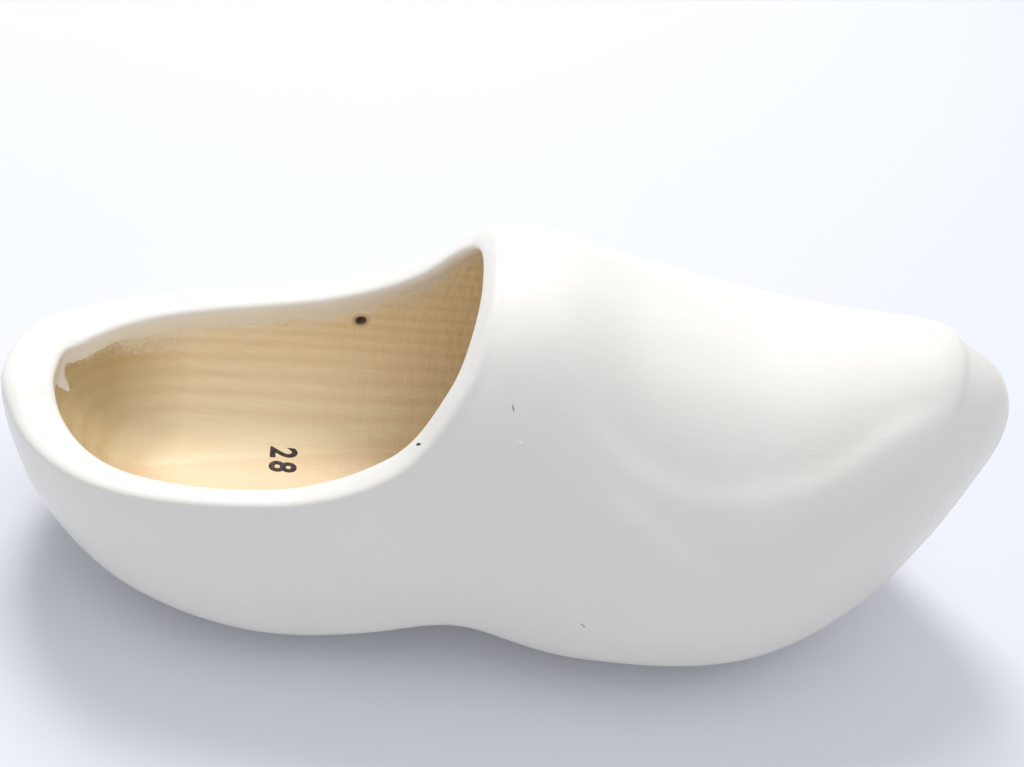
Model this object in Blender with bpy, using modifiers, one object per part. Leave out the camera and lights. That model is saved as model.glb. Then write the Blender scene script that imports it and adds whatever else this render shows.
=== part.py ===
# A carved wooden clog for the right foot, under a coat of paint.
# +X is the toe, +Y the inner side of the foot, and the flat treads stand on Z = 0.
import math

import bmesh
import bpy
from mathutils import Vector

MM = 0.001

# Driving sizes, in millimetres
LENGTH = 320.0             # heel back to toe tip
BALL_WIDTH = 122.0         # outside, across the ball of the foot
INSTEP_HEIGHT = 118.0      # ground to the top of the mouth's front edge
HEEL_HEIGHT = 57.0         # ground to the outer edge of the rim at the heel
TIP_HEIGHT = 68.0          # ground to the point of the nose
ARCH_LIFT = 14.0           # hollow under the waist, between heel and ball
MOUTH_LENGTH = 138.0       # heel back to the front of the mouth
HEEL_WALL = 14.5
SIDE_WALL = 12.0           # at the widest line of the cavity; the rim is thinner
OUTER_THINNING = 0.2       # the outer wall is this much thinner beside the mouth
VAMP_WALL = 6.5
TOE_WOOD = 25.5            # solid wood ahead of the toes
HEEL_SOLE = 26.0           # wood under the heel
BALL_SOLE = 18.0           # wood under the ball of the foot
TOE_POCKET_HEIGHT = 56.0   # ground to the foremost point of the cavity
RIM_ROLL = 3.0             # how far the rounded rim stands above its two edges
TREAD_DEPTH = 1.5          # how deep the flat treads are planed into the round sole
SECTION_SKEW = 0.1         # the sections and the mouth run slightly oblique to the long axis
PAINT = 0.4
PAINT_GAP = 0.35
PAINT_EDGE = 2.5           # the coat ends this far above the ground
CORD_HOLE = 3.0            # drilled for the cord that ties a pair together
CORD_HOLE_FROM_HEEL = 99.0
CORD_HOLE_BELOW_RIM = 11.0

# Mesh steps
AROUND = 36
MOUTH_STEPS = 16
NOSE_STEPS = 13
POCKET_STEPS = 11
ROLL_STEPS = 4
ROW_LEAN = 20.0            # how far forward of the mouth's edge its last row meets the sole
WELD = 0.3                 # points closer than this become one, or letting the wood in would fold it

# Outlines are (share of the length, value). The plan is in shares of BALL_WIDTH.
LATERAL_EDGE = [(0, .04), (.014, -.08), (.06, -.23), (.14, -.365), (.25, -.45), (.37, -.455), (.47, -.445),
                (.58, -.49), (.69, -.495), (.78, -.45), (.875, -.325), (.94, -.18), (.98, -.055), (1, .05)]
MEDIAL_EDGE = [(0, .04), (.014, .195), (.06, .285), (.14, .36), (.25, .41), (.37, .44), (.47, .46),
               (.58, .49), (.69, .505), (.78, .445), (.875, .33), (.94, .2), (.98, .11), (1, .05)]
SPINE = [(0, .04), (.14, .045), (.25, .025), (.37, .03), (.47, .055), (.6, .075), (.75, .085), (.88, .09), (1, .05)]

# Heights in millimetres. The widest lines are where each side stands out furthest.
LATERAL_WIDEST = [(0, HEEL_HEIGHT), (.06, 48), (.14, 35), (.25, 27), (.37, 25), (.47, 32), (.6, 31), (.78, 30),
                  (.875, 36), (.94, 48), (1, TIP_HEIGHT)]
MEDIAL_WIDEST = [(0, HEEL_HEIGHT), (.06, 45), (.14, 38), (.25, 34), (.47, 32), (.78, 33), (.875, 40),
                 (.94, 50), (1, TIP_HEIGHT)]
CROWN = [(0, HEEL_HEIGHT), (.02, HEEL_HEIGHT + 19), (.06, HEEL_HEIGHT + 26), (.14, .715 * INSTEP_HEIGHT),
         (.25, .76 * INSTEP_HEIGHT), (.37, .945 * INSTEP_HEIGHT), (.47, INSTEP_HEIGHT), (.58, .91 * INSTEP_HEIGHT),
         (.69, .865 * INSTEP_HEIGHT), (.78, .89 * INSTEP_HEIGHT), (.875, .925 * INSTEP_HEIGHT),
         (.94, .86 * INSTEP_HEIGHT), (.98, TIP_HEIGHT + 21), (1, TIP_HEIGHT)]
SOLE = [(0, HEEL_HEIGHT), (.02, 31), (.06, 12), (.14, 0), (.25, 0), (.6, 0), (.7, 0), (.78, 3), (.875, 13),
        (.94, 37), (.98, 55), (1, TIP_HEIGHT)]

# Corner sharpness of the sections: 2 is an ellipse, more is squarer, less is leaner.
BELOW = [(0, 2), (.06, 2.4), (.25, 2.8), (.69, 2.9), (.875, 2.4), (1, 2)]
LATERAL_ABOVE = [(0, 2), (.06, 2.4), (.14, 2.3), (.25, 2), (.4, 1.7), (.69, 1.45), (.8, 1.6), (.94, 1.9), (1, 2)]
MEDIAL_ABOVE = [(0, 2), (.06, 2.4), (.25, 2.6), (.58, 2.7), (.75, 2.3), (.9, 2), (1, 2)]
HOLLOW_BELOW = 2.2

# The rim, from the heel (0) round to the middle of the mouth's front edge (1)
RIM_FORWARD = [(0, 0), (.167, .113), (.333, .376), (.5, .667), (.667, .867), (.833, .97), (1, 1)]
RIM_HEIGHT = [(0, HEEL_HEIGHT), (.167, HEEL_HEIGHT - 2.5), (.333, HEEL_HEIGHT + 1), (.5, HEEL_HEIGHT + 7.5),
              (.667, HEEL_HEIGHT + 21), (.833, .845 * INSTEP_HEIGHT)]
RIM_INSET = [(0, HEEL_WALL), (.167, .6 * HEEL_WALL), (.333, 2.5), (.5, 0), (.667, -2.5), (.833, -4.5), (1, -3.5)]


def spline(points, at, warp=lambda share: share):
    """Read a smooth curve through the points at one place."""
    xs = [warp(p[0]) for p in points]
    ys = [p[1] for p in points]
    slopes = []
    for i in range(len(points)):
        a, b = max(i - 1, 0), min(i + 1, len(points) - 1)
        slopes.append((ys[b] - ys[a]) / (xs[b] - xs[a]))
    place = min(max(warp(at), xs[0]), xs[-1])
    i = 0
    while i < len(points) - 2 and place > xs[i + 1]:
        i += 1
    step = xs[i + 1] - xs[i]
    t = (place - xs[i]) / step
    rise = ys[i + 1] - ys[i]
    start, end = slopes[i] * step - rise, rise - slopes[i + 1] * step
    return ys[i] + t * rise + t * (1 - t) * ((1 - t) * start + t * end)


def round_ends(share):
    """Spread the stations so that an outline leaves its two ends like a circle does."""
    return math.acos(1 - 2 * min(max(share, 0), 1)) / math.pi


def outline(points, x):
    return spline(points, x / LENGTH, round_ends)


def smooth(low, high, value):
    t = min(max((value - low) / (high - low), 0), 1)
    return t * t * (3 - 2 * t)


def outside(x):
    """The outer section at x: (lateral, medial, spine), sole, crown, widest heights, corners."""
    arch = ARCH_LIFT * math.sin(math.pi * smooth(.25, .6, x / LENGTH)) ** 2
    ends = smooth(0, .1, x / LENGTH) * (1 - smooth(.8, 1, x / LENGTH))
    return {
        "lateral": BALL_WIDTH * outline(LATERAL_EDGE, x),
        "medial": BALL_WIDTH * outline(MEDIAL_EDGE, x),
        "spine": BALL_WIDTH * outline(SPINE, x),
        "sole": outline(SOLE, x) + arch - TREAD_DEPTH * ends,
        "crown": outline(CROWN, x),
        "lateral_widest": outline(LATERAL_WIDEST, x),
        "medial_widest": outline(MEDIAL_WIDEST, x),
        "below": outline(BELOW, x),
        "lateral_above": outline(LATERAL_ABOVE, x),
        "medial_above": outline(MEDIAL_ABOVE, x),
    }


def bulge(height, start, end, corner):
    """Half width, as a share, at a height between the widest line and the top or bottom."""
    share = min(abs((height - start) / (end - start)), 1)
    return (1 - share ** corner) ** (1 / max(corner, 2))


def hollow(x):
    """The section of the foot cavity at x, in the same terms as the outer one."""
    shape = outside(x)
    length = LENGTH - HEEL_WALL - TOE_WOOD
    share = min(max((x - HEEL_WALL) / length, 0), 1)
    heel_end = (1 - max(1 - share / .12, 0) ** 3) ** (1 / 3)
    toe_end = math.sqrt(1 - max((share - .72) / .28, 0) ** 2)
    ends = heel_end * toe_end
    pole = HEEL_HEIGHT + (TOE_POCKET_HEIGHT - HEEL_HEIGHT) * smooth(.1, .9, share)
    sole = HEEL_SOLE + (BALL_SOLE - HEEL_SOLE) * smooth(.25, .6, share) + max(outline(SOLE, x), 0) * toe_end
    sole = pole + (min(sole, pole) - pole) * ends
    open_top = 1 - smooth(.45 * MOUTH_LENGTH, MOUTH_LENGTH, x)
    crown = shape["crown"] - VAMP_WALL + (VAMP_WALL + 6) * open_top
    crown = pole + (crown - pole) * max(ends, .02)
    widest = sole + .42 * (crown - sole)
    section = {"sole": sole, "crown": crown, "spine": shape["spine"], "below": HOLLOW_BELOW}
    for side in ("lateral", "medial"):
        half = shape[side] - shape["spine"]
        half *= bulge(max(widest, shape[side + "_widest"]), shape[side + "_widest"], shape["crown"],
                      shape[side + "_above"])
        wall = SIDE_WALL * (1 - OUTER_THINNING * open_top) if side == "lateral" else SIDE_WALL
        half -= math.copysign(wall, half)
        section[side] = shape["spine"] + half * ends
        section[side + "_widest"] = widest
        section[side + "_above"] = max(shape[side + "_above"], 1.8)
    return section


def section_point(x, section, angle):
    """A point of a section: angle 0 is the sole, minus and plus pi the crown by either side."""
    side = "lateral" if angle < 0 else "medial"
    across, up = abs(math.sin(angle)), math.cos(angle)
    widest = section[side + "_widest"]
    limit = section["sole"] if up > 0 else section["crown"]
    corner = section["below"] if up > 0 else section[side + "_above"]
    y = section["spine"] + (section[side] - section["spine"]) * across ** (2 / max(corner, 2))
    z = widest + (limit - widest) * abs(up) ** (2 / corner)
    return Vector((x + SECTION_SKEW * y, y, max(z, 0)))


def rim_angle(section, side, height):
    """The angle at which a section's side reaches a height."""
    widest = section[side + "_widest"]
    above = height > widest
    limit = section["crown"] if above else section["sole"]
    power = section[side + "_above"] if above else section["below"]
    share = min(abs((height - widest) / (limit - widest)), 1) if limit != widest else 1
    angle = math.acos(share ** (power / 2))
    angle = math.pi - angle if above else angle
    return -angle if side == "lateral" else angle


def rim_share(row):
    """Where a row meets the rim, spaced closely at the heel and at the front of the mouth."""
    return math.sin(math.pi / 2 * row / MOUTH_STEPS) ** 2


def rim_outer(s):
    top = outside(MOUTH_LENGTH)["crown"]
    return MOUTH_LENGTH * spline(RIM_FORWARD, s), spline(RIM_HEIGHT + [(1, top)], s)


def rim_inner(s):
    x, z = rim_outer(s)
    x += spline(RIM_INSET, s)
    top = hollow(MOUTH_LENGTH + RIM_INSET[-1][1])["crown"]
    return x, z + (top - rim_outer(1)[1]) * smooth(.6, 1, s)


def shell_rows(rim, section, end, steps):
    """Rows of one surface, each from the lateral rim under the foot to the medial rim.

    The rows lean forward towards the sole, and past the mouth they close over the crown."""
    rows = []
    start = rim(0)[0]
    for i in range(MOUTH_STEPS + steps + 1):
        top_x, top_z = rim(rim_share(min(i, MOUTH_STEPS)))
        under_x = start + (MOUTH_LENGTH + ROW_LEAN - start) * min(i / MOUTH_STEPS, 1)
        forward = 1 - (1 - max(i - MOUTH_STEPS, 0) / steps) ** 1.5
        limits = [rim_angle(section(top_x), side, top_z) for side in ("lateral", "medial")]
        row = []
        for j in range(AROUND + 1):
            lean = math.sin(math.pi * j / AROUND) ** .8
            x = top_x + (under_x - top_x) * lean
            x += (end - x) * forward
            angle = limits[0] + (limits[1] - limits[0]) * j / AROUND
            row.append(section_point(x, section(x), angle))
        rows.append(row)
    return rows


def roll_row(s, outer, inner):
    """The rounded top of the rim, from its outer edge to its inner one."""
    (x0, z0), (x1, z1) = rim_outer(max(s - .02, 0)), rim_outer(min(s + .02, 1))
    off = Vector((z0 - z1, 0, x1 - x0)).normalized() * RIM_ROLL
    middle, half = (outer + inner) / 2, (outer - inner) / 2
    row = []
    for i in range(ROLL_STEPS + 1):
        turn = math.pi * i / ROLL_STEPS
        along = math.copysign(abs(math.cos(turn)) ** .75, math.cos(turn))
        row.append(middle + half * along + off * math.sin(turn) ** .75)
    return row


def sheet(mesh, rows, painted):
    """Join rows of points with faces, and mark the faces that the paint covers."""
    grid = [[mesh.verts.new(point * MM) for point in row] for row in rows]
    for i in range(len(grid) - 1):
        for j in range(len(grid[i]) - 1):
            face = mesh.faces.new((grid[i][j], grid[i + 1][j], grid[i + 1][j + 1], grid[i][j + 1]))
            face.material_index = 1 if painted(i, j, face) else 0


def clog_surface():
    """The whole skin of the clog as one closed mesh, centred over its footprint."""
    mesh = bmesh.new()
    outer = shell_rows(rim_outer, outside, LENGTH, NOSE_STEPS)
    inner = shell_rows(rim_inner, hollow, LENGTH - TOE_WOOD, POCKET_STEPS)
    rolls = [[], []]
    for i in range(MOUTH_STEPS + 1):
        for side, column in enumerate((0, AROUND)):
            rolls[side].append(roll_row(rim_share(i), outer[i][column], inner[i][column]))
    edge = PAINT_EDGE * MM
    sheet(mesh, outer, lambda i, j, face: min(v.co.z for v in face.verts) > edge)
    sheet(mesh, inner, lambda i, j, face: i == 0 or i <= MOUTH_STEPS and j in (0, AROUND - 1))
    for rows in rolls:
        sheet(mesh, rows, lambda i, j, face: True)
    bmesh.ops.remove_doubles(mesh, verts=mesh.verts, dist=WELD * MM)
    bmesh.ops.triangulate(mesh, faces=mesh.faces)
    bmesh.ops.recalc_face_normals(mesh, faces=mesh.faces)
    if mesh.calc_volume(signed=True) < 0:
        bmesh.ops.reverse_faces(mesh, faces=mesh.faces)
    low = [min(v.co[k] for v in mesh.verts) for k in range(2)]
    high = [max(v.co[k] for v in mesh.verts) for k in range(2)]
    centre = Vector(((low[0] + high[0]) / 2, (low[1] + high[1]) / 2, 0))
    bmesh.ops.translate(mesh, verts=mesh.verts, vec=-centre)
    mesh.normal_update()
    order = mesh.verts.layers.int.new("order")
    for i, v in enumerate(mesh.verts):
        v[order] = i
    return mesh, centre


def add_object(name, mesh, collection, colour=None, roughness=.5):
    data = bpy.data.meshes.new(name)
    mesh.to_mesh(data)
    data.shade_smooth()
    item = bpy.data.objects.new(name, data)
    collection.objects.link(item)
    if colour:
        material = bpy.data.materials.new(name)
        material.use_nodes = True
        shader = material.node_tree.nodes["Principled BSDF"]
        shader.inputs["Base Color"].default_value = (*colour, 1)
        shader.inputs["Roughness"].default_value = roughness
        data.materials.clear()
        data.materials.append(material)
        for polygon in data.polygons:
            polygon.material_index = 0
    return item


def painted_part(skin):
    """Only the painted faces of the skin."""
    mesh = skin.copy()
    bare = [face for face in mesh.faces if face.material_index == 0]
    bmesh.ops.delete(mesh, geom=bare, context="FACES")
    mesh.normal_update()
    return mesh


def wood_body(skin, collection):
    """The carved block, let in under the paint by the coat and its gap."""
    mesh = skin.copy()
    painted = painted_part(skin)
    order = painted.verts.layers.int["order"]
    normals = {v[order]: v.normal for v in painted.verts}
    order = mesh.verts.layers.int["order"]
    for v in mesh.verts:
        if v[order] in normals:
            v.co -= normals[v[order]] * (PAINT + PAINT_GAP) * MM
    return add_object("wood_body", mesh, collection, (.78, .60, .38), .6)


def paint_coat(skin, collection):
    """The paint film: the painted faces, thickened inwards."""
    item = add_object("paint_coat", painted_part(skin), collection, (.90, .89, .85), .3)
    solid = item.modifiers.new("film", "SOLIDIFY")
    solid.thickness = PAINT * MM
    solid.offset = -1
    return item


def drill_cord_hole(items, collection, centre):
    """A round hole straight across the medial wall, under the rim."""
    s = 0.0
    while rim_outer(s)[0] < CORD_HOLE_FROM_HEEL:
        s += .005
    height = rim_outer(s)[1] - CORD_HOLE_BELOW_RIM
    section = outside(CORD_HOLE_FROM_HEEL)
    point = section_point(CORD_HOLE_FROM_HEEL, section, rim_angle(section, "medial", height))
    mesh = bmesh.new()
    bmesh.ops.create_cone(mesh, cap_ends=True, segments=12, radius1=CORD_HOLE * MM / 2,
                          radius2=CORD_HOLE * MM / 2, depth=4 * SIDE_WALL * MM)
    cutter = add_object("cord_hole_cutter", mesh, collection)
    cutter.location = point * MM - centre
    cutter.rotation_euler = (math.pi / 2, 0, 0)
    cutter.hide_render = True
    cutter.display_type = "WIRE"
    for item in items:
        cut = item.modifiers.new("cord_hole", "BOOLEAN")
        cut.operation = "DIFFERENCE"
        cut.solver = "EXACT"
        cut.object = cutter


def main():
    for item in list(bpy.data.objects):
        bpy.data.objects.remove(item, do_unlink=True)
    collections = []
    for name in ("wooden_clog", "cutters"):
        collections.append(bpy.data.collections.new(name))
        bpy.context.scene.collection.children.link(collections[-1])
    skin, centre = clog_surface()
    items = [wood_body(skin, collections[0]), paint_coat(skin, collections[0])]
    drill_cord_hole(items, collections[1], centre)


main()
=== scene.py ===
import math

import bmesh
import bpy
import numpy as np
from mathutils import Matrix, Quaternion, Vector, kdtree, noise
from mathutils.bvhtree import BVHTree


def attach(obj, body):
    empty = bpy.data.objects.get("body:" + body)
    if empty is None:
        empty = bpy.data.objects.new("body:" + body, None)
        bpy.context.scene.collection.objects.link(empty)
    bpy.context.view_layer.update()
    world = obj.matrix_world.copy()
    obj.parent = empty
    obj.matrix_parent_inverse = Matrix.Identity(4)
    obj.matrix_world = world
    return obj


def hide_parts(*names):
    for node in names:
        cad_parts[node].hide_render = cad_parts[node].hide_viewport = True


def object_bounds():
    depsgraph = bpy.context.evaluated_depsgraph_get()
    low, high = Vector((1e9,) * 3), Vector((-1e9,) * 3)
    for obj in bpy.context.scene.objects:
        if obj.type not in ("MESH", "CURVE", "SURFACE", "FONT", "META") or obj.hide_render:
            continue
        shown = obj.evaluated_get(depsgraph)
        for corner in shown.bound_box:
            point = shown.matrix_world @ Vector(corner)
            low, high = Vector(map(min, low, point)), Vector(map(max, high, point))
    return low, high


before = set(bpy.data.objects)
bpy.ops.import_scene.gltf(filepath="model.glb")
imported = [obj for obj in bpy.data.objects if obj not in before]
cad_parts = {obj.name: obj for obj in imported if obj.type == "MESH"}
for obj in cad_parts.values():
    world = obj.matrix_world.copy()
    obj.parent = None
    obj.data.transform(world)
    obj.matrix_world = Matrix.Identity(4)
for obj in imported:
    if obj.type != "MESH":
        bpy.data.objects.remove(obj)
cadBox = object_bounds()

mm = 0.001
cadLow, cadHigh = (np.array(corner) / mm for corner in cadBox)
cadSize = cadHigh - cadLow

view = {
    "azimuth": -17.5,       # degrees round from the clog's outer side
    "elevation": 45.8,
    "roll": 18.8,
    "distance": 0.4382,     # metres
    "target": (-0.0008, 0.0338, 0.040),
    "lens": 44.6,           # millimetres
}

stage = {
    "floorSize": 6.0,
    "floorColour": "#E3E5EB",
    "worldColour": "#EDF0F8",
    "worldStrength": 0.53,
    "aim": (0, 0, 0.04),
    "lights": [             # name, place, size, watts
        ("windowLight", (-0.25, 0.95, 1.25), 0.5, 14.5),
        ("topLight", (0.25, 0.15, 1.5), 1.4, 7),
        ("frontFill", (-0.5, -1.2, 0.8), 1.2, 1.2),
    ],
}


def linear(code):
    channels = [int(code[i:i + 2], 16) / 255 for i in (1, 3, 5)]
    return [c / 12.92 if c <= .04045 else ((c + .055) / 1.055) ** 2.4 for c in channels] + [1.0]


def addNode(tree, kind, inputs=None, **settings):
    # a node with its settings; an input is either a value or another node's output
    node = tree.nodes.new(kind)
    for name, value in settings.items():
        setattr(node, name, value)
    for name, value in (inputs or {}).items():
        socket = node.inputs[name]
        if isinstance(value, bpy.types.NodeSocket):
            tree.links.new(value, socket)
        else:
            socket.default_value = value
    return node


def newMaterial(name):
    material = bpy.data.materials.new(name)
    material.use_nodes = True
    tree = material.node_tree
    shader = tree.nodes["Principled BSDF"]
    return material, tree, shader


def makeCamera():
    azimuth, elevation = math.radians(view["azimuth"]), math.radians(view["elevation"])
    back = Vector((math.sin(azimuth) * math.cos(elevation), -math.cos(azimuth) * math.cos(elevation),
                   math.sin(elevation)))
    data = bpy.data.cameras.new("viewCamera")
    data.lens = view["lens"]
    data.sensor_width = 36
    data.clip_start = 0.01
    camera = bpy.data.objects.new("viewCamera", data)
    bpy.context.scene.collection.objects.link(camera)
    camera.location = Vector(view["target"]) + back * view["distance"]
    camera.rotation_mode = "QUATERNION"
    roll = Quaternion((0, 0, 1), math.radians(view["roll"]))
    camera.rotation_quaternion = (-back).to_track_quat("-Z", "Y") @ roll
    bpy.context.scene.camera = camera


def makeStage():
    sheet = bmesh.new()
    bmesh.ops.create_grid(sheet, x_segments=1, y_segments=1, size=stage["floorSize"] / 2)
    mesh = bpy.data.meshes.new("paleFloor")
    sheet.to_mesh(mesh)
    floor = bpy.data.objects.new("paleFloor", mesh)
    bpy.context.scene.collection.objects.link(floor)
    material, _, shader = newMaterial("matteBackdropPaper")
    shader.inputs["Base Color"].default_value = linear(stage["floorColour"])
    shader.inputs["Roughness"].default_value = .9
    mesh.materials.append(material)
    world = bpy.data.worlds.new("paleRoom")
    world.use_nodes = True
    background = world.node_tree.nodes["Background"]
    background.inputs["Color"].default_value = linear(stage["worldColour"])
    background.inputs["Strength"].default_value = stage["worldStrength"]
    bpy.context.scene.world = world
    bpy.context.scene.view_settings.view_transform = "Standard"
    aim = Vector(stage["aim"])
    for name, place, size, watts in stage["lights"]:
        data = bpy.data.lights.new(name, "AREA")
        data.size = size
        data.energy = watts
        light = bpy.data.objects.new(name, data)
        light.location = place
        light.rotation_mode = "QUATERNION"
        light.rotation_quaternion = (aim - light.location).to_track_quat("-Z", "Y")
        bpy.context.scene.collection.objects.link(light)


print("stage: camera, floor and lights")
makeCamera()
makeStage()


# The clog's shape, in millimetres with the heel at x = 0, until shiftToFrame puts it in the frame's box.
clog = {
    "length": cadSize[0],
    "ballWidth": 122.0,
    "instepHeight": 118.0,
    "heelHeight": 57.0,
    "tipHeight": 68.0,
    "archLift": 14.0,
    "mouthLength": 138.0,
    "heelWall": 14.5,
    "sideWall": 12.0,
    "outerThinning": 0.2,   # the outer wall is this much thinner beside the mouth
    "vampWall": 6.5,
    "toeWood": 25.5,
    "heelSole": 26.0,
    "ballSole": 18.0,
    "toePocketHeight": 56.0,
    "rimRoll": 3.0,
    "rimCorner": 0.55,      # 1 is a round rim, less is flatter on top with tighter corners
    "treadDepth": 1.5,
    "skew": 0.1,
    "rowLean": 20.0,        # how far each row of the surface leans forward under the foot
    "hollowHeelRound": 0.12,    # share of the cavity's length in its rounded heel end
    "hollowToeRound": 0.28,     # and in its rounded toe
    "hollowWidest": 0.42,       # how far up the cavity is widest
    "hollowBelow": 2.2,         # corner sharpness of its floor
    "openTopRise": 6.0,         # the open cavity's section closes this far above the crown
}
length, heelHeight = clog["length"], clog["heelHeight"]
instep, tipHeight = clog["instepHeight"], clog["tipHeight"]

# plan outlines: (share of the length, share of the ball width)
lateralEdge = [(0, .04), (.014, -.08), (.06, -.23), (.14, -.365), (.25, -.45), (.37, -.455),
               (.47, -.445), (.58, -.49), (.69, -.495), (.78, -.45), (.875, -.32), (.94, -.17),
               (.98, -.048), (1, .05)]
medialEdge = [(0, .04), (.014, .195), (.06, .285), (.14, .36), (.25, .41), (.37, .44),
              (.47, .46), (.58, .49), (.69, .505), (.78, .445), (.875, .33), (.94, .2),
              (.98, .11), (1, .05)]
spineLine = [(0, .04), (.14, .045), (.25, .025), (.37, .03), (.47, .055), (.6, .075),
             (.75, .085), (.88, .09), (1, .05)]
# heights along the length
lateralWidest = [(0, heelHeight), (.06, 48), (.14, 35), (.25, 27), (.37, 25), (.47, 32),
                 (.6, 31), (.78, 30), (.875, 36), (.94, 48), (1, tipHeight)]
medialWidest = [(0, heelHeight), (.06, 45), (.14, 38), (.25, 34), (.47, 32), (.78, 33),
                (.875, 40), (.94, 50), (1, tipHeight)]
crownLine = [(0, heelHeight), (.02, heelHeight + 19), (.06, heelHeight + 26), (.14, .715 * instep),
             (.25, .76 * instep), (.37, .945 * instep), (.47, instep), (.58, .91 * instep),
             (.69, .865 * instep), (.78, .89 * instep), (.875, .925 * instep),
             (.94, .86 * instep), (.98, tipHeight + 21), (1, tipHeight)]
soleLine = [(0, heelHeight), (.02, 31), (.06, 12), (.14, 0), (.25, 0), (.6, 0), (.7, 0),
            (.78, 3), (.875, 13), (.94, 37), (.98, 55), (1, tipHeight)]
# corner sharpness of the sections: 2 is an ellipse, more is squarer, less is leaner
cornerBelow = [(0, 2), (.06, 2.4), (.25, 2.8), (.69, 2.9), (.875, 2.4), (1, 2)]
lateralAbove = [(0, 2), (.06, 2.4), (.14, 2.3), (.25, 2), (.4, 1.7), (.69, 1.45), (.8, 1.6),
                (.94, 1.9), (1, 2)]
medialAbove = [(0, 2), (.06, 2.4), (.25, 2.6), (.58, 2.7), (.75, 2.3), (.9, 2), (1, 2)]
# the rim, from the heel (0) to the middle of the mouth's front edge (1)
rimForward = [(0, 0), (.167, .113), (.333, .376), (.5, .667), (.667, .867), (.833, .97), (1, 1)]
rimHeight = [(0, heelHeight), (.167, heelHeight - 2.5), (.333, heelHeight + 1), (.5, heelHeight + 7.5),
             (.667, heelHeight + 21), (.833, .845 * instep)]
rimInset = [(0, clog["heelWall"]), (.167, .45 * clog["heelWall"]), (.333, 2.5), (.5, 0), (.667, -2.5),
            (.833, -4.5), (1, -3.5)]


def spline(points, at, warp=None):
    # a smooth curve through the points, read at an array of places
    xs = np.array([p[0] for p in points], float)
    ys = np.array([p[1] for p in points], float)
    at = np.asarray(at, float)
    if warp:
        xs, at = warp(xs), warp(at)
    rise = np.empty(len(xs))
    rise[1:-1] = (ys[2:] - ys[:-2]) / (xs[2:] - xs[:-2])
    rise[0] = (ys[1] - ys[0]) / (xs[1] - xs[0])
    rise[-1] = (ys[-1] - ys[-2]) / (xs[-1] - xs[-2])
    at = np.clip(at, xs[0], xs[-1])
    i = np.clip(np.searchsorted(xs, at, side="right") - 1, 0, len(xs) - 2)
    step = xs[i + 1] - xs[i]
    t = (at - xs[i]) / step
    climb = ys[i + 1] - ys[i]
    a, b = rise[i] * step - climb, climb - rise[i + 1] * step
    return ys[i] + t * climb + t * (1 - t) * ((1 - t) * a + t * b)


def roundEnds(share):
    return np.arccos(1 - 2 * np.clip(share, 0, 1)) / math.pi


def outline(points, x):
    return spline(points, x / length, roundEnds)


def smooth(low, high, value):
    t = np.clip((value - low) / (high - low), 0, 1)
    return t * t * (3 - 2 * t)


def outside(x):
    arch = clog["archLift"] * np.sin(math.pi * smooth(.25, .6, x / length)) ** 2
    ends = smooth(0, .1, x / length) * (1 - smooth(.8, 1, x / length))
    return {
        "lateral": clog["ballWidth"] * outline(lateralEdge, x),
        "medial": clog["ballWidth"] * outline(medialEdge, x),
        "spine": clog["ballWidth"] * outline(spineLine, x),
        "sole": outline(soleLine, x) + arch - clog["treadDepth"] * ends,
        "crown": outline(crownLine, x),
        "lateralWidest": outline(lateralWidest, x),
        "medialWidest": outline(medialWidest, x),
        "below": outline(cornerBelow, x),
        "lateralAbove": outline(lateralAbove, x),
        "medialAbove": outline(medialAbove, x),
    }


def bulge(height, start, end, corner):
    share = np.clip(np.abs((height - start) / np.where(end == start, 1, end - start)), 0, 1)
    return (1 - share ** corner) ** (1 / np.maximum(corner, 2))


def hollow(x):
    # the foot cavity, with its own floor, ceiling and round ends
    shape = outside(x)
    wallHeel = clog["heelWall"]
    share = np.clip((x - wallHeel) / (length - wallHeel - clog["toeWood"]), 0, 1)
    heelRound, toeRound = clog["hollowHeelRound"], clog["hollowToeRound"]
    heelEnd = (1 - np.maximum(1 - share / heelRound, 0) ** 3) ** (1 / 3)
    toeEnd = np.sqrt(1 - np.maximum((share - (1 - toeRound)) / toeRound, 0) ** 2)
    ends = heelEnd * toeEnd
    pole = heelHeight + (clog["toePocketHeight"] - heelHeight) * smooth(.1, .9, share)
    sole = clog["heelSole"] + (clog["ballSole"] - clog["heelSole"]) * smooth(.25, .6, share)
    sole = sole + np.maximum(outline(soleLine, x), 0) * toeEnd
    sole = pole + (np.minimum(sole, pole) - pole) * ends
    openTop = 1 - smooth(.45 * clog["mouthLength"], clog["mouthLength"], x)
    crown = shape["crown"] - clog["vampWall"] + (clog["vampWall"] + clog["openTopRise"]) * openTop
    crown = pole + (crown - pole) * np.maximum(ends, .02)
    widest = sole + clog["hollowWidest"] * (crown - sole)
    section = {"sole": sole, "crown": crown, "spine": shape["spine"],
               "below": np.full_like(sole, clog["hollowBelow"])}
    for side, way in (("lateral", -1), ("medial", 1)):
        start = shape[side + "Widest"]
        half = np.abs(shape[side] - shape["spine"])
        half = half * bulge(np.maximum(widest, start), start, shape["crown"], shape[side + "Above"])
        wall = clog["sideWall"] * (1 - (clog["outerThinning"] * openTop if side == "lateral" else 0))
        section[side] = shape["spine"] + way * (half - wall) * ends
        section[side + "Widest"] = widest
        section[side + "Above"] = np.maximum(shape[side + "Above"], 1.8)
    return section


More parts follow.
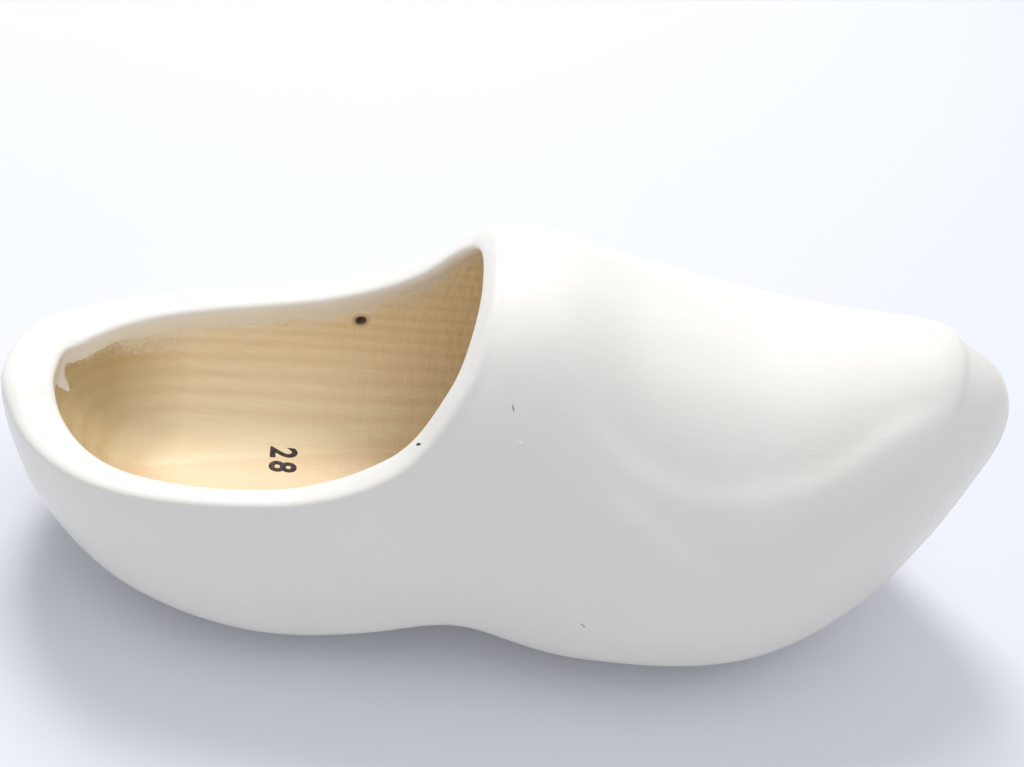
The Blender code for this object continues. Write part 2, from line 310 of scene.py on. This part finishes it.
def sectionPoints(x, section, angle):
    # angle 0 is the sole, minus and plus pi the crown by the outer and the inner side
    lateral, up = angle < 0, np.cos(angle)
    edge = np.where(lateral, section["lateral"], section["medial"])
    widest = np.where(lateral, section["lateralWidest"], section["medialWidest"])
    above = np.where(lateral, section["lateralAbove"], section["medialAbove"])
    corner = np.where(up > 0, section["below"], above)
    limit = np.where(up > 0, section["sole"], section["crown"])
    y = section["spine"] + (edge - section["spine"]) * np.abs(np.sin(angle)) ** (2 / np.maximum(corner, 2))
    z = widest + (limit - widest) * np.abs(up) ** (2 / corner)
    return np.stack([x + clog["skew"] * y, y, np.maximum(z, 0)], -1)


def rimAngle(section, side, height):
    widest = section[side + "Widest"]
    above = height > widest
    limit = np.where(above, section["crown"], section["sole"])
    corner = np.where(above, section[side + "Above"], section["below"])
    room = np.where(limit == widest, 1, limit - widest)
    share = np.where(limit == widest, 1, np.clip(np.abs((height - widest) / room), 0, 1))
    angle = np.arccos(share ** (corner / 2))
    angle = np.where(above, math.pi - angle, angle)
    return -angle if side == "lateral" else angle


def rimOuter(s):
    top = float(outside(np.array(clog["mouthLength"]))["crown"])
    return clog["mouthLength"] * spline(rimForward, s), spline(rimHeight + [(1, top)], s)


def rimInner(s):
    x, z = rimOuter(s)
    frontX = np.array(clog["mouthLength"] + rimInset[-1][1])
    drop = float(hollow(frontX)["crown"]) - float(rimOuter(1)[1])
    return x + spline(rimInset, s), z + drop * smooth(.6, 1, s)


def rimShare(row, mouthRows):
    return np.sin(math.pi / 2 * row / mouthRows) ** 2


def surfaceGrid(rim, section, end, mouthRows, noseRows, columns):
    # rows run from the outer rim under the foot to the inner rim, and past the mouth they close over the top
    i = np.arange(mouthRows + noseRows + 1)
    top = np.minimum(i, mouthRows)
    topX, topZ = rim(rimShare(top, mouthRows))
    underX = topX + clog["rowLean"] * top / mouthRows     # every row leans forward under the foot
    forward = np.sin(math.pi / 2 * np.maximum(i - mouthRows, 0) / noseRows)[:, None]
    across = np.arange(columns + 1) / columns
    lean = np.abs(np.sin(math.pi * across)) ** .8
    x = topX[:, None] + (underX - topX)[:, None] * lean
    x = x + (end - x) * forward
    low = rimAngle(section(topX), "lateral", topZ)[:, None]
    high = rimAngle(section(topX), "medial", topZ)[:, None]
    return sectionPoints(x, section(x), low + (high - low) * across)


def rollGrid(outer, inner, mouthRows, steps):
    # the rounded top of the rim on one side, from the outer edge to the inner one
    s = rimShare(np.arange(mouthRows + 1), mouthRows)
    x0, z0 = rimOuter(np.maximum(s - .02, 0))
    x1, z1 = rimOuter(np.minimum(s + .02, 1))
    off = np.stack([z0 - z1, np.zeros_like(s), x1 - x0], -1)
    off *= clog["rimRoll"] / np.linalg.norm(off, axis=1)[:, None]
    middle, half = (outer + inner) / 2, (outer - inner) / 2
    turn = math.pi * np.arange(steps + 1) / steps
    along = np.where(np.cos(turn) > 0, 1, -1) * np.abs(np.cos(turn)) ** clog["rimCorner"]
    rise = np.abs(np.sin(turn)) ** clog["rimCorner"]
    return middle[:, None] + half[:, None] * along[None, :, None] + off[:, None] * rise[None, :, None]


def shiftToFrame(points):
    # the outer surface's own middle goes to the middle of the frame's box
    flat = points.reshape(-1, 3)
    middle = (flat.min(0) + flat.max(0)) / 2
    goal = (cadLow + cadHigh) / 2
    return np.array([goal[0] - middle[0], goal[1] - middle[1], 0])


fineness = {
    "mouthRows": 130,
    "noseRows": 110,
    "pocketRows": 100,
    "columns": 150,
    "rollSteps": 12,
    "weld": 0.01,           # millimetres
}

# soft planes that the knife leaves on the nose, in frame millimetres
noseCarving = {
    "creaseLine": [(-1, 97), (15, 86), (26, 80.5), (36, 77), (52, 75.7), (71, 78.2),
                   (89, 85), (104, 93), (124, 97.5)],
    "creaseStart": (-5, 22),    # the crease comes in over this stretch
    "creaseStop": (104, 128),   # and goes out over this one
    "creaseDepth": 1.2,
    "creaseBand": 6,
    "creaseFade": 36,
    "streakFrom": (16, 78.3),
    "streakSlope": -0.575,
    "streakStart": (8, 22),
    "streakStop": (50, 62),
    "streakEdge": 1.1,
    "streakFade": (3, 30),
    "streakDepth": 1.1,
    "tipEdge": (126.5, 106),
    "tipSlope": 0.45,
    "tipBevel": (-1, 5),
    "tipWidth": 7,
    "tipFade": 25,
    "tipHeights": (80, 97),
    "tipDepth": 1.1,
    "undulation": 0.16,
    "undulationSize": 34,
    "undulationSeed": 3.7,
    "calmTreads": (0.5, 8),     # no undulation on the treads
}


def gentleNoise(points, size, seed):
    # smooth noise, about -1 to 1, with bumps this many millimetres wide
    return np.array([noise.noise(Vector(p) / size + Vector((seed, 0, 0))) for p in points])


def gridFaces(rows, columns, first):
    i, j = np.meshgrid(np.arange(rows - 1), np.arange(columns - 1), indexing="ij")
    a = first + i * columns + j
    return np.stack([a, a + columns, a + columns + 1, a + 1], -1).reshape(-1, 4)


def newMesh(name, points, faces, values=None):
    mesh = bpy.data.meshes.new(name)
    mesh.from_pydata((np.asarray(points) * mm).tolist(), [], faces)
    for key, value in (values or {}).items():
        mesh.attributes.new(key, "FLOAT", "POINT").data.foreach_set("value", np.asarray(value, np.float32))
    mesh.validate()
    return mesh


def readMesh(mesh):
    # points in millimetres, vertex normals and faces
    points, normals = np.empty(len(mesh.vertices) * 3), np.empty(len(mesh.vertices) * 3)
    mesh.vertices.foreach_get("co", points)
    mesh.vertex_normals.foreach_get("vector", normals)
    faces = [tuple(polygon.vertices) for polygon in mesh.polygons]
    return points.reshape(-1, 3) / mm, normals.reshape(-1, 3), faces


def noseCarve(points):
    # how far the nose's planes stand in (minus) or out
    cut = noseCarving
    x, y, z = points.T
    above = z - spline(cut["creaseLine"], x)
    ends = smooth(*cut["creaseStart"], x) * (1 - smooth(*cut["creaseStop"], x))
    push = -cut["creaseDepth"] * ends * smooth(0, cut["creaseBand"], above)
    push = push * (1 - smooth(cut["creaseBand"], cut["creaseFade"], above))
    startX, startZ = cut["streakFrom"]
    past = z - (startZ + cut["streakSlope"] * (x - startX))
    near = smooth(*cut["streakStart"], x) * (1 - smooth(*cut["streakStop"], x))
    edge = cut["streakEdge"]
    push -= cut["streakDepth"] * near * smooth(-edge, edge, past) * (1 - smooth(*cut["streakFade"], past))
    edgeX, edgeZ = cut["tipEdge"]
    beyond = x - (edgeX - cut["tipSlope"] * (edgeZ - z))
    width = cut["tipWidth"]
    facet = smooth(*cut["tipBevel"], beyond) * (1 - smooth(width, width + cut["tipFade"], beyond))
    push -= cut["tipDepth"] * facet * smooth(*cut["tipHeights"], z)
    return push


def clogSkin():
    # one closed surface: the outside, the cavity and the rolled rim between them
    mouth, columns = fineness["mouthRows"], fineness["columns"]
    outer = surfaceGrid(rimOuter, outside, length, mouth, fineness["noseRows"], columns)
    inner = surfaceGrid(rimInner, hollow, length - clog["toeWood"], mouth, fineness["pocketRows"], columns)
    grids = [(outer, 0), (inner, 1)]
    for column in (0, -1):
        edges = outer[:mouth + 1, column], inner[:mouth + 1, column]
        grids.append((rollGrid(*edges, mouth, fineness["rollSteps"]), 0))
    points, faces, inside = [], [], []
    for grid, side in grids:
        faces.append(gridFaces(grid.shape[0], grid.shape[1], sum(len(p) for p in points)))
        points.append(grid.reshape(-1, 3) + shiftToFrame(outer))
        inside.append(np.full(len(points[-1]), side))
    mesh = newMesh("clogSkin", np.concatenate(points), np.concatenate(faces).tolist(),
                   {"inside": np.concatenate(inside)})
    bm = bmesh.new()
    bm.from_mesh(mesh)
    bmesh.ops.remove_doubles(bm, verts=bm.verts, dist=fineness["weld"] * mm)
    bmesh.ops.holes_fill(bm, edges=[edge for edge in bm.edges if edge.is_boundary], sides=0)
    bmesh.ops.recalc_face_normals(bm, faces=bm.faces)
    if bm.calc_volume(signed=True) < 0:
        bmesh.ops.reverse_faces(bm, faces=bm.faces)
    bm.to_mesh(mesh)
    rimLine = [inner[:mouth + 1, column] + shiftToFrame(outer) for column in (0, -1)]
    return mesh, np.concatenate(rimLine)


def carveSkin(mesh):
    points, normals, _ = readMesh(mesh)
    inside = np.empty(len(points), np.float32)
    mesh.attributes["inside"].data.foreach_get("value", inside)
    cut = noseCarving
    wave = gentleNoise(points, cut["undulationSize"], cut["undulationSeed"])
    push = noseCarve(points) + cut["undulation"] * wave
    push *= (1 - inside) * smooth(*cut["calmTreads"], points[:, 2])
    points = points + normals * push[:, None]
    mesh.vertices.foreach_set("co", (points * mm).ravel())
    mesh.update()
    return inside


coat = {
    "thickness": 0.25,      # under the carved surface
    "stand": 0.2,           # over it, where the coat is full
    "edge": -0.07,          # where it runs out it dips under the wood
    "bareBelow": 2.2,       # the treads are rubbed bare below this height
    "insideSides": 4.5,     # how far it runs down inside the rim
    "insideHeel": 4.0,
    "insideFront": 3.0,
    "dripSide": 6,          # how far the drip at the heel stands off the middle
    "dripWidth": 2.4,
    "dripLength": 6,
    "spill": 1.2,           # the shell reaches this far past the paint's edge
    "fullAfter": 1.6,       # and has its full height this far inside it
    "clearance": 0.05,      # between the coat's underside and the wood
}


def paintReach(points, inside, rimTree):
    # distance in from the paint's edge: plus is painted, minus is bare
    depth = np.array([rimTree.find(Vector(p))[2] for p in points])
    x, y, z = points.T
    reach = coat["insideSides"] + (coat["insideHeel"] - coat["insideSides"]) * smooth(-118, -140, x)
    reach += (coat["insideFront"] - coat["insideSides"]) * smooth(-60, -20, x)
    reach += 1.3 * gentleNoise(points, 9, 11.3) + .6 * gentleNoise(points, 3, 5.1)
    drip = np.exp(-((y - coat["dripSide"]) / coat["dripWidth"]) ** 2)
    reach += coat["dripLength"] * drip * smooth(-128, -134, x)
    treads = z - coat["bareBelow"] - .5 * gentleNoise(points, 12, 8.8) - .25 * gentleNoise(points, 3, 2.2)
    return np.where(inside > .5, reach - depth, treads), depth


def makeCoat(points, normals, faces, reach):
    # the painted part of the skin and its own underside, as one closed shell
    kept = [face for face in faces if max(reach[v] for v in face) > -coat["spill"]]
    used = np.unique(np.concatenate([np.array(face) for face in kept]))
    number = np.full(len(points), -1)
    number[used] = np.arange(len(used))
    full = smooth(-coat["spill"] / 2, coat["fullAfter"], reach)
    rise = coat["edge"] + (coat["stand"] - coat["edge"]) * full
    top = points + normals * rise[:, None]
    under = points - normals * coat["thickness"]
    count = len(used)
    upper = [[int(number[v]) for v in face] for face in kept]
    lower = [[v + count for v in reversed(face)] for face in upper]
    edges = dict.fromkeys((a, b) for face in upper for a, b in zip(face, face[1:] + face[:1]))
    sides = [[b, a, a + count, b + count] for a, b in edges if (b, a) not in edges]
    return newMesh("whiteCoat", np.concatenate([top[used], under[used]]), upper + lower + sides)


def makeWood(points, normals, faces, reach, inside, depth):
    # let in under the coat, and marked where the spoon knife worked
    let = (coat["thickness"] + coat["clearance"]) * smooth(.4, 2.6, reach)
    cavity = inside * smooth(3, 9, depth)
    return newMesh("carvedPoplar", points - normals * let[:, None], faces, {"cavity": cavity})


def newObject(mesh):
    piece = bpy.data.objects.new(mesh.name, mesh)
    bpy.context.scene.collection.objects.link(piece)
    return piece


def settled(piece):
    # the piece as its modifiers leave it, as one plain mesh
    bpy.context.view_layer.update()
    shape = piece.evaluated_get(bpy.context.evaluated_depsgraph_get())
    mesh = bpy.data.meshes.new_from_object(shape)
    old, name = piece.data, piece.name
    piece.modifiers.clear()
    piece.data = mesh
    bpy.data.meshes.remove(old)
    mesh.name = name
    return piece


gouge = {
    "Spacing": 0.0046,      # from one cut of the spoon knife to the next
    "Depth": 0.00016,
    "Wander": 0.9,
    "Slant": 0.35,
    "Seed": 4.0,
}


def gougeTree(material):
    # cross rows of shallow scallops, cut into the surface where the cavity attribute is 1
    tree = bpy.data.node_groups.new("gougeMarks", "GeometryNodeTree")
    face = tree.interface
    face.new_socket("Geometry", in_out="INPUT", socket_type="NodeSocketGeometry")
    for name, value in gouge.items():
        face.new_socket(name, in_out="INPUT", socket_type="NodeSocketFloat").default_value = value
    face.new_socket("Geometry", in_out="OUTPUT", socket_type="NodeSocketGeometry")
    given = tree.nodes.new("NodeGroupInput").outputs

    def maths(operation, first, second=0.0):
        return addNode(tree, "ShaderNodeMath", {0: first, 1: second}, operation=operation).outputs[0]

    place = addNode(tree, "GeometryNodeInputPosition").outputs[0]
    parts = addNode(tree, "ShaderNodeSeparateXYZ", {0: place}).outputs
    wander = addNode(tree, "ShaderNodeTexNoise", {"Vector": place, "W": given["Seed"], "Scale": 55.0,
                                                  "Detail": 1.0}, noise_dimensions="4D").outputs[0]
    swing = maths("MULTIPLY", maths("SUBTRACT", wander, .5), maths("MULTIPLY", given["Wander"], 4.0))
    slanted = maths("ADD", parts["X"], maths("MULTIPLY", parts["Z"], given["Slant"]))
    cuts = maths("ADD", maths("DIVIDE", slanted, given["Spacing"]), swing)
    row = maths("FLOOR", cuts)
    across = maths("SUBTRACT", maths("MULTIPLY", maths("FRACT", cuts), 2.0), 1.0)
    scoop = maths("SUBTRACT", 1.0, maths("MULTIPLY", across, across))
    # each row is broken into strokes about 14 mm long, staggered from row to row
    stagger = maths("MULTIPLY", maths("SINE", maths("MULTIPLY", row, 12.9)), 3.0)
    around = maths("ADD", maths("MULTIPLY", parts["Y"], 230.0), maths("MULTIPLY", parts["Z"], 260.0))
    stroke = maths("ADD", .7, maths("MULTIPLY", maths("SINE", maths("ADD", around, stagger)), .3))
    mask = addNode(tree, "GeometryNodeInputNamedAttribute", {"Name": "cavity"}, data_type="FLOAT").outputs[0]
    push = maths("MULTIPLY", maths("MULTIPLY", scoop, stroke), maths("MULTIPLY", mask, given["Depth"]))
    normal = addNode(tree, "GeometryNodeInputNormal").outputs[0]
    away = addNode(tree, "ShaderNodeVectorMath", {0: normal, "Scale": maths("MULTIPLY", push, -1.0)},
                   operation="SCALE").outputs[0]
    cut = addNode(tree, "GeometryNodeSetPosition", {"Geometry": given["Geometry"], "Offset": away}).outputs[0]
    real = addNode(tree, "GeometryNodeRealizeInstances", {"Geometry": cut}).outputs[0]
    dressed = addNode(tree, "GeometryNodeSetMaterial", {"Geometry": real, "Material": material}).outputs[0]
    addNode(tree, "NodeGroupOutput", {"Geometry": dressed})
    return tree


def cutGouges(piece, material):
    tree = gougeTree(material)
    marks = piece.modifiers.new("gougeMarks", "NODES")
    marks.node_group = tree
    for item in tree.interface.items_tree:
        if item.in_out == "INPUT" and item.name in gouge:
            marks[item.identifier] = gouge[item.name]
    return settled(piece)


cordHole = {
    "exit": (-55.6, 38.8, 57.5),    # its mouth in the cavity wall
    "diameter": 3.2,
    "reach": 40.0,
    "segments": 32,
}


def drillCordHole(pieces):
    bm = bmesh.new()
    radius = cordHole["diameter"] / 2 * mm
    bmesh.ops.create_cone(bm, cap_ends=True, segments=cordHole["segments"], radius1=radius, radius2=radius,
                          depth=cordHole["reach"] * mm)
    turn = Matrix.Translation(Vector(cordHole["exit"]) * mm) @ Matrix.Rotation(math.pi / 2, 4, "X")
    bmesh.ops.transform(bm, matrix=turn, verts=bm.verts)
    mesh = bpy.data.meshes.new("cordDrill")
    bm.to_mesh(mesh)
    drill = newObject(mesh)
    for piece in pieces:
        cut = piece.modifiers.new("cordHole", "BOOLEAN")
        cut.operation = "DIFFERENCE"
        cut.solver = "MANIFOLD"
        cut.object = drill
        settled(piece)
    bpy.data.objects.remove(drill)


sizeStamp = {
    "text": "28",           # inner length in centimetres
    "centre": (-76, 2.5),
    "height": 9.0,
    "width": 10.2,
    "ink": 0.05,
    "lift": 0.02,           # off the wood
    "spread": 0.032,        # a worn rubber stamp prints a little fat
    "spacing": 1.3,
    "step": 0.09,           # longest edge, as a share of the letter size, so that it follows the wood
}


def surfaceTree(piece):
    shape = bmesh.new()
    shape.from_mesh(piece.data)
    return BVHTree.FromBMesh(shape)


def makeStamp(wood):
    # stamped across the insole: tops of the digits towards the toe
    curve = bpy.data.curves.new("sizeStamp", "FONT")
    curve.body = sizeStamp["text"]
    curve.extrude = .02
    curve.offset = sizeStamp["spread"]
    curve.space_character = sizeStamp["spacing"]
    words = bpy.data.objects.new("stampOutline", curve)
    bpy.context.scene.collection.objects.link(words)
    bpy.context.view_layer.update()
    mesh = bpy.data.meshes.new_from_object(words.evaluated_get(bpy.context.evaluated_depsgraph_get()))
    bpy.data.objects.remove(words)
    bm = bmesh.new()
    bm.from_mesh(mesh)
    bmesh.ops.remove_doubles(bm, verts=bm.verts, dist=1e-5)
    for _ in range(3):
        long = [edge for edge in bm.edges if edge.calc_length() > sizeStamp["step"]]
        bmesh.ops.subdivide_edges(bm, edges=long, cuts=1)
    bmesh.ops.triangulate(bm, faces=bm.faces)
    low = [min(v.co[k] for v in bm.verts) for k in range(3)]
    high = [max(v.co[k] for v in bm.verts) for k in range(3)]
    ground = surfaceTree(wood)
    for v in bm.verts:
        across, up, thick = ((v.co[k] - (low[k] + high[k]) / 2) / (high[k] - low[k]) for k in range(3))
        x = sizeStamp["centre"][0] + up * sizeStamp["height"]
        y = sizeStamp["centre"][1] - across * sizeStamp["width"]
        hit = ground.ray_cast(Vector((x, y, 80)) * mm, Vector((0, 0, -1)))[0]
        v.co = hit + Vector((0, 0, (sizeStamp["lift"] + thick * sizeStamp["ink"]) * mm))
    bmesh.ops.recalc_face_normals(bm, faces=bm.faces)
    bm.to_mesh(mesh)
    mesh.name = "sizeStamp"
    return newObject(mesh)


# small faults in the coat: place on the surface, length, width, turn in degrees, finish
faults = [
    ((-18.2, -29.6, 98.5), 2.0, .4, 110, "scuffedGrey"),
    ((-42.4, -35.2, 85.7), 1.7, .9, 60, "greenPaintFleck"),
    ((-14.8, -35.3, 90.7), 1.3, 1.0, 20, "paintNib"),
    ((15.6, -59.2, 37.4), 2.2, .4, -35, "scuffedGrey"),
]
# a scuff is grey dirt in the lacquer, a fleck is a splash of another paint, a nib is dust under the spray
faultFinish = {
    "scuffedGrey": {"colour": "#8A8880", "roughness": 0.6, "tall": 0.12},
    "greenPaintFleck": {"colour": "#2F4A3C", "roughness": 0.4, "tall": 0.12},
    "paintNib": {"colour": "#FBFAF6", "roughness": 0.25, "tall": 0.35},
}


def makeFaults(piece):
    # thin lens-shaped flecks lying on the coat
    ground = surfaceTree(piece)
    bodies = {}
    for place, long, wide, turn, kind in faults:
        spot, normal = ground.find_nearest(Vector(place) * mm)[:2]
        bm = bodies.setdefault(kind, bmesh.new())
        made = bmesh.ops.create_icosphere(bm, subdivisions=2, radius=.5)["verts"]
        upright = normal.to_track_quat("Z", "Y").to_matrix().to_4x4()
        turned = upright @ Matrix.Rotation(math.radians(turn), 4, "Z")
        shape = Matrix.Diagonal((long * mm, wide * mm, faultFinish[kind]["tall"] * mm, 1))
        bmesh.ops.transform(bm, matrix=Matrix.Translation(spot) @ turned @ shape, verts=made)
    made = []
    for kind, bm in bodies.items():
        mesh = bpy.data.meshes.new(kind)
        bm.to_mesh(mesh)
        made.append(newObject(mesh))
    return made


def flatMaterial(name, colour, roughness):
    material, _, shader = newMaterial(name)
    shader.inputs["Base Color"].default_value = linear(colour)
    shader.inputs["Roughness"].default_value = roughness
    return material


def lacquerMaterial():
    # white lacquer sprayed on sanded poplar: satin-gloss, with a faint orange peel and the grain telegraphing
    material, tree, shader = newMaterial("sprayedWhiteLacquer")
    place = addNode(tree, "ShaderNodeTexCoord").outputs["Object"]
    drift = addNode(tree, "ShaderNodeTexNoise", {"Vector": place, "Scale": 22.0, "Detail": 3.0})
    tone = addNode(tree, "ShaderNodeMix", {"Factor": drift.outputs["Fac"]}, data_type="RGBA")
    tone.inputs[6].default_value = linear("#F5F3ED")
    tone.inputs[7].default_value = linear("#F1EDE3")
    tree.links.new(tone.outputs[2], shader.inputs["Base Color"])
    shader.inputs["Roughness"].default_value = .27
    shader.inputs["IOR"].default_value = 1.5
    # peel dimples 3 mm across, grain lines 1.3 mm wide and 50 mm long
    peel = addNode(tree, "ShaderNodeTexNoise", {"Vector": place, "Scale": 330.0, "Detail": 2.0})
    stretched = addNode(tree, "ShaderNodeMapping", {"Vector": place, "Scale": (20.0, 770.0, 770.0)})
    grain = addNode(tree, "ShaderNodeTexNoise", {"Vector": stretched.outputs[0], "Scale": 1.0, "Detail": 3.0})
    first = addNode(tree, "ShaderNodeBump", {"Height": peel.outputs["Fac"], "Strength": .06, "Distance": .001})
    second = addNode(tree, "ShaderNodeBump", {"Height": grain.outputs["Fac"], "Strength": .07,
                                              "Distance": .0006, "Normal": first.outputs[0]})
    tree.links.new(second.outputs[0], shader.inputs["Normal"])
    return material


poplarTones = {
    "early": "#FFF3D6",
    "late": "#EDD5A5",
    "ring": "#D3AF74",
    "cloud": "#F7E8C8",
    # painted shade, darkening the wood deep in the toe pocket
    "toePocketShade": "#C8A068",
    # painted shade on the heel wall inside the cavity
    "heelWallShade": "#A0823F",
    # painted shade beside the slanting line on the insole
    "insoleLineShade": "#DDB08C",
    "overspray": "#F3EEE2",
    # a faint brown ring round the cord hole, then painted shade in the hole itself
    "holeRing": "#8A7338",
    "hole": "#1E1A12",
}


def poplarMaterial():
    # bare poplar worked with a spoon knife: pale, straight-grained and dry, with overspray under the rim
    material, tree, shader = newMaterial("carvedPoplar")

    def maths(operation, first, second=0.0, clamp=False):
        return addNode(tree, "ShaderNodeMath", {0: first, 1: second}, operation=operation,
                       use_clamp=clamp).outputs[0]

    def blend(factor, first, second, kind="MIX"):
        mix = addNode(tree, "ShaderNodeMix", data_type="RGBA", blend_type=kind)
        for socket, value in ((mix.inputs[0], factor), (mix.inputs[6], first), (mix.inputs[7], second)):
            if isinstance(value, bpy.types.NodeSocket):
                tree.links.new(value, socket)
            else:
                socket.default_value = value
        return mix.outputs[2]

    def ranged(value, low, high, start=0.0, end=1.0):
        return addNode(tree, "ShaderNodeMapRange", {"Value": value, "From Min": low, "From Max": high,
                                                    "To Min": start, "To Max": end}).outputs[0]

    tone = {name: linear(code) for name, code in poplarTones.items()}
    place = addNode(tree, "ShaderNodeTexCoord").outputs["Object"]
    parts = addNode(tree, "ShaderNodeSeparateXYZ", {0: place}).outputs
    # fibres 0.8 mm wide and 30 mm long, growth rings 5 mm apart
    along = addNode(tree, "ShaderNodeMapping", {"Vector": place, "Scale": (33.0, 1200.0, 1200.0)}).outputs[0]
    fibres = addNode(tree, "ShaderNodeTexNoise", {"Vector": along, "Scale": 1.0, "Detail": 4.0}).outputs["Fac"]
    ringPlace = addNode(tree, "ShaderNodeMapping", {"Vector": place, "Scale": (.12, 1.0, 1.0),
                                                    "Location": (0, .03, .16)}).outputs[0]
    rings = addNode(tree, "ShaderNodeTexWave", {"Vector": ringPlace, "Scale": 62.0, "Distortion": 3.0,
                                                "Detail": 2.0, "Detail Scale": .6},
                    wave_type="RINGS", rings_direction="X").outputs["Fac"]
    cloud = addNode(tree, "ShaderNodeTexNoise", {"Vector": place, "Scale": 30.0, "Detail": 3.0}).outputs["Fac"]
    colour = blend(ranged(fibres, 0, 1), tone["early"], tone["late"])
    colour = blend(ranged(rings, .2, 1.0, 0, .22), colour, tone["ring"])
    colour = blend(ranged(cloud, .35, .7, 0, .45), colour, tone["cloud"])
    # painted shade: the wood is painted darker and browner towards the toe, deep in the cavity
    colour = blend(ranged(parts["X"], .01, .09, 0, .4), colour, tone["toePocketShade"])
    # and painted shade makes the heel wall inside the cavity darker and browner too
    colour = blend(ranged(parts["X"], -.108, -.132, 0, .6), colour, tone["heelWallShade"])
    # painted shade: a slanting line on the insole, with darker, warmer wood on its outer side
    shifted = maths("ADD", parts["X"], .102)
    edge = maths("MINIMUM", maths("MULTIPLY", shifted, .2), maths("MULTIPLY", shifted, .28))
    beyond = maths("SUBTRACT", parts["Y"], maths("SUBTRACT", edge, .0011))
    low = ranged(parts["Z"], .05, .03)
    insoleShadeMask = maths("MULTIPLY", ranged(beyond, .0006, -.0009, 0, .3), low)
    colour = blend(insoleShadeMask, colour, tone["insoleLineShade"])
    # painted shade: the cord hole is painted near-black, as its inside is in shade, with a faint brown ring
    # round it
    holeX = maths("SUBTRACT", parts["X"], cordHole["exit"][0] * mm)
    holeZ = maths("SUBTRACT", parts["Z"], cordHole["exit"][2] * mm)
    square = maths("ADD", maths("MULTIPLY", holeX, holeX), maths("MULTIPLY", holeZ, holeZ))
    ring = maths("SQRT", square)
    medial = ranged(parts["Y"], .028, .03)
    # overspray: thick at the rim, thinning to single droplets
    depth = addNode(tree, "ShaderNodeAttribute", attribute_name="rimDepth").outputs["Fac"]
    speck = addNode(tree, "ShaderNodeTexNoise", {"Vector": place, "Scale": 900.0, "Detail": 2.0}).outputs["Fac"]
    drift = addNode(tree, "ShaderNodeTexNoise", {"Vector": place, "Scale": 70.0, "Detail": 2.0}).outputs["Fac"]
    heelward = ranged(parts["X"], -.142, -.118, 5.0, 15.0)
    width = maths("SUBTRACT", heelward, ranged(parts["X"], -.1, -.03, 0, 6.0))
    fade = maths("DIVIDE", depth, width)
    fade = maths("ADD", fade, maths("MULTIPLY", maths("SUBTRACT", drift, .5), 1.1))
    fade = maths("ADD", fade, maths("MULTIPLY", maths("SUBTRACT", speck, .5), .9))
    spray = addNode(tree, "ShaderNodeMapRange", {"Value": fade, "From Min": 1.1, "From Max": .1,
                                                 "To Min": 0.0, "To Max": .85},
                    interpolation_type="SMOOTHSTEP").outputs[0]
    colour = blend(spray, colour, tone["overspray"])
    colour = blend(maths("MULTIPLY", ranged(ring, .0036, .0018, 0, .55), medial), colour, tone["holeRing"])
    colour = blend(maths("MULTIPLY", ranged(ring, .0021, .0014, 0, .97), medial), colour, tone["hole"])
    tree.links.new(colour, shader.inputs["Base Color"])
    tree.links.new(ranged(spray, 0, 1, .62, .4), shader.inputs["Roughness"])
    shader.inputs["IOR"].default_value = 1.47
    chatter = addNode(tree, "ShaderNodeMapping", {"Vector": place, "Scale": (420.0, 110.0, 110.0)}).outputs[0]
    marks = addNode(tree, "ShaderNodeTexNoise", {"Vector": chatter, "Scale": 1.0, "Detail": 2.0}).outputs["Fac"]
    first = addNode(tree, "ShaderNodeBump", {"Height": fibres, "Strength": .25, "Distance": .0004})
    second = addNode(tree, "ShaderNodeBump", {"Height": marks, "Strength": .35, "Distance": .0009,
                                              "Normal": first.outputs[0]})
    tree.links.new(second.outputs[0], shader.inputs["Normal"])
    return material


def inkMaterial():
    # black stamping ink soaked into bare wood: nearly matt, a little uneven
    material, tree, shader = newMaterial("stampingInk")
    place = addNode(tree, "ShaderNodeTexCoord").outputs["Object"]
    blot = addNode(tree, "ShaderNodeTexNoise", {"Vector": place, "Scale": 700.0, "Detail": 3.0})
    tone = addNode(tree, "ShaderNodeValToRGB", {"Fac": blot.outputs["Fac"]})
    tone.color_ramp.elements[0].position = .4
    tone.color_ramp.elements[0].color = linear("#1E1B19")
    tone.color_ramp.elements[1].position = .72
    tone.color_ramp.elements[1].color = linear("#5A4A3C")
    tree.links.new(tone.outputs["Color"], shader.inputs["Base Color"])
    shader.inputs["Roughness"].default_value = .7
    return material


lacquer, poplar, ink = lacquerMaterial(), poplarMaterial(), inkMaterial()

print("stage: carving the surface")
skin, rimLine = clogSkin()
inside = carveSkin(skin)
points, normals, faces = readMesh(skin)
rimTree = kdtree.KDTree(len(rimLine))
for i, p in enumerate(rimLine):
    rimTree.insert(Vector(p), i)
rimTree.balance()
reach, depth = paintReach(points, inside, rimTree)

print("stage: wood and paint")
wood = newObject(makeWood(points, normals, faces, reach, inside, depth))
wood = cutGouges(wood, poplar)
paint = newObject(makeCoat(points, normals, faces, reach))
drillCordHole([wood, paint])
deep = np.empty(len(wood.data.vertices) * 3)
wood.data.vertices.foreach_get("co", deep)
deep = [rimTree.find(Vector(p))[2] for p in deep.reshape(-1, 3) / mm]
wood.data.attributes.new("rimDepth", "FLOAT", "POINT").data.foreach_set("value", np.array(deep, np.float32))
bpy.data.meshes.remove(skin)

print("stage: size stamp")
stamp = makeStamp(wood)

print("stage: small faults")
flecks = makeFaults(paint)
dressed = [(wood, poplar), (paint, lacquer), (stamp, ink)]
for fleck in flecks:
    finish = faultFinish[fleck.name]
    dressed.append((fleck, flatMaterial(fleck.name + "Finish", finish["colour"], finish["roughness"])))

for piece, material in dressed:
    piece.data.materials.clear()
    piece.data.materials.append(material)
    piece.data.shade_smooth()
    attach(piece, "root")
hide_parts("wood_body")
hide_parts("paint_coat")

for piece, material in dressed:
    print("piece:", piece.name, len(piece.data.polygons), "faces")
